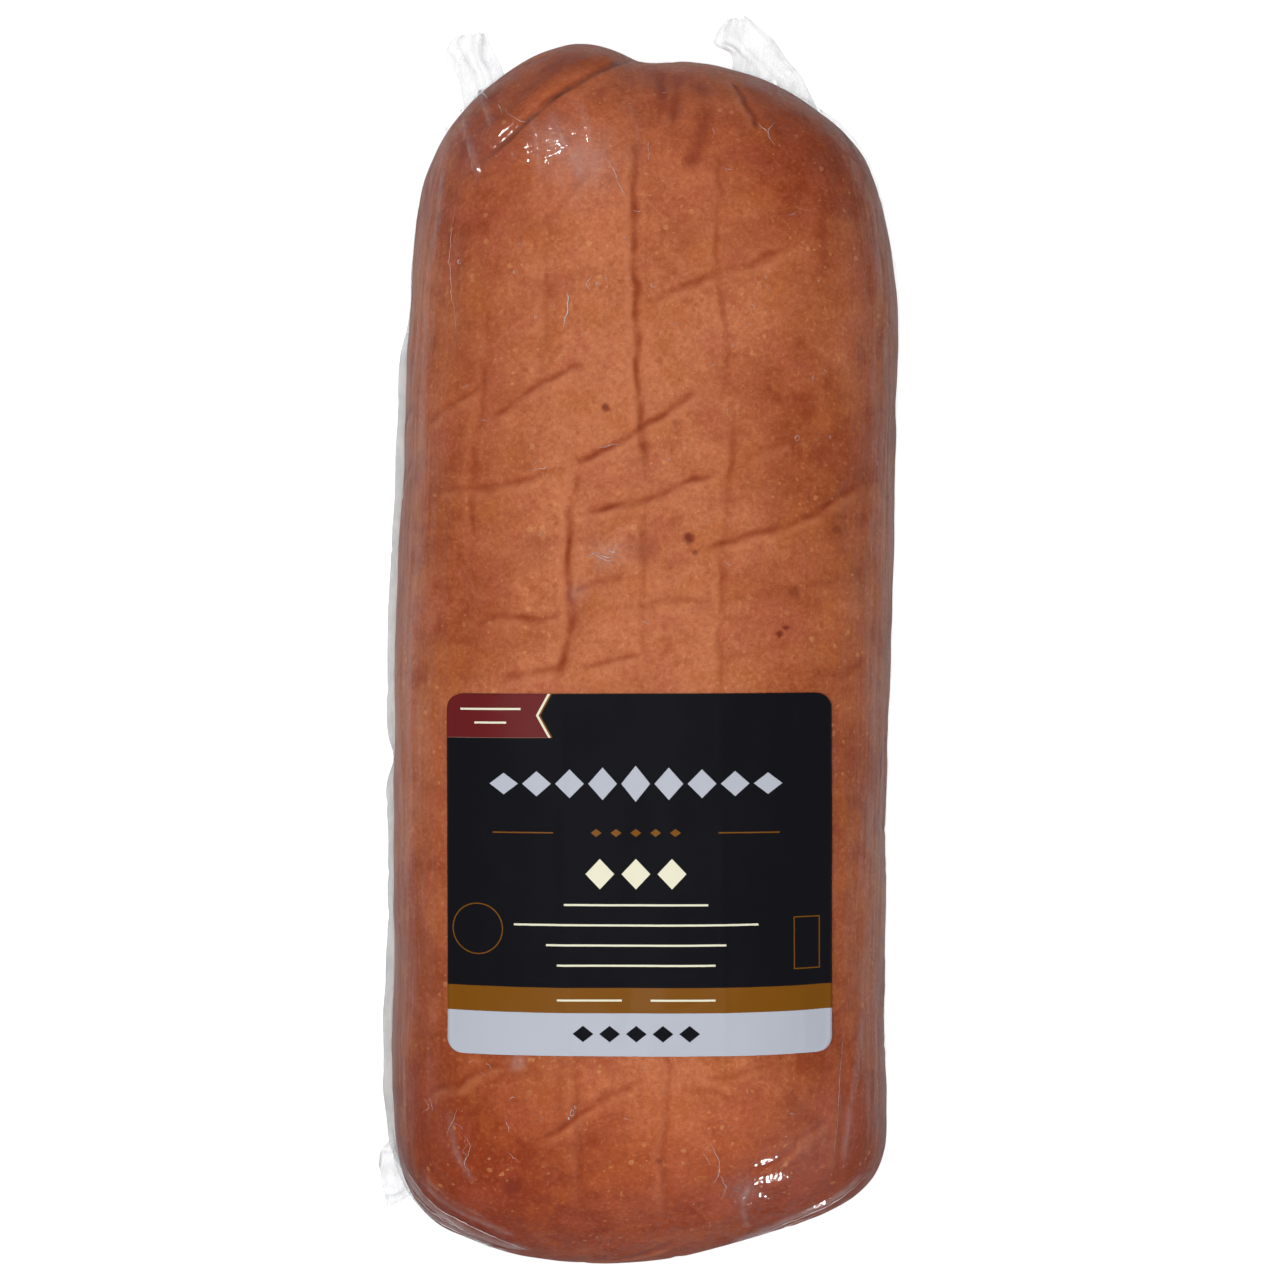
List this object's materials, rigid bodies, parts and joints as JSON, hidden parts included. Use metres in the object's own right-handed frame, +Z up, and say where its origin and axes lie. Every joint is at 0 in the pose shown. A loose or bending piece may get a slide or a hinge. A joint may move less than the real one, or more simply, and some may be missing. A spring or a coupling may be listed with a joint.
{
  "type": "vacuum packed smoked ham",
  "caption": "Pressed boneless smoked ham log in a clear skin-tight vacuum pack with a heat-sealed edge and a printed label, lying on its flattened back.",
  "frame": {"origin": "middle of the pack's footprint, on the surface that it lies on", "axes": "+Z up through the face with the label, +Y along the log towards the end away from the label, +X across it"},
  "size_m": [0.1574, 0.3794, 0.1195],
  "materials": {
    "smoked_meat": "satin",
    "clear_film": "gloss",
    "printed_label": "satin"
  },
  "bodies": {
    "root": {"ham": "smoked_meat", "upper_film": "clear_film", "lower_film": "clear_film", "label": "printed_label"}
  },
  "joints": []
}
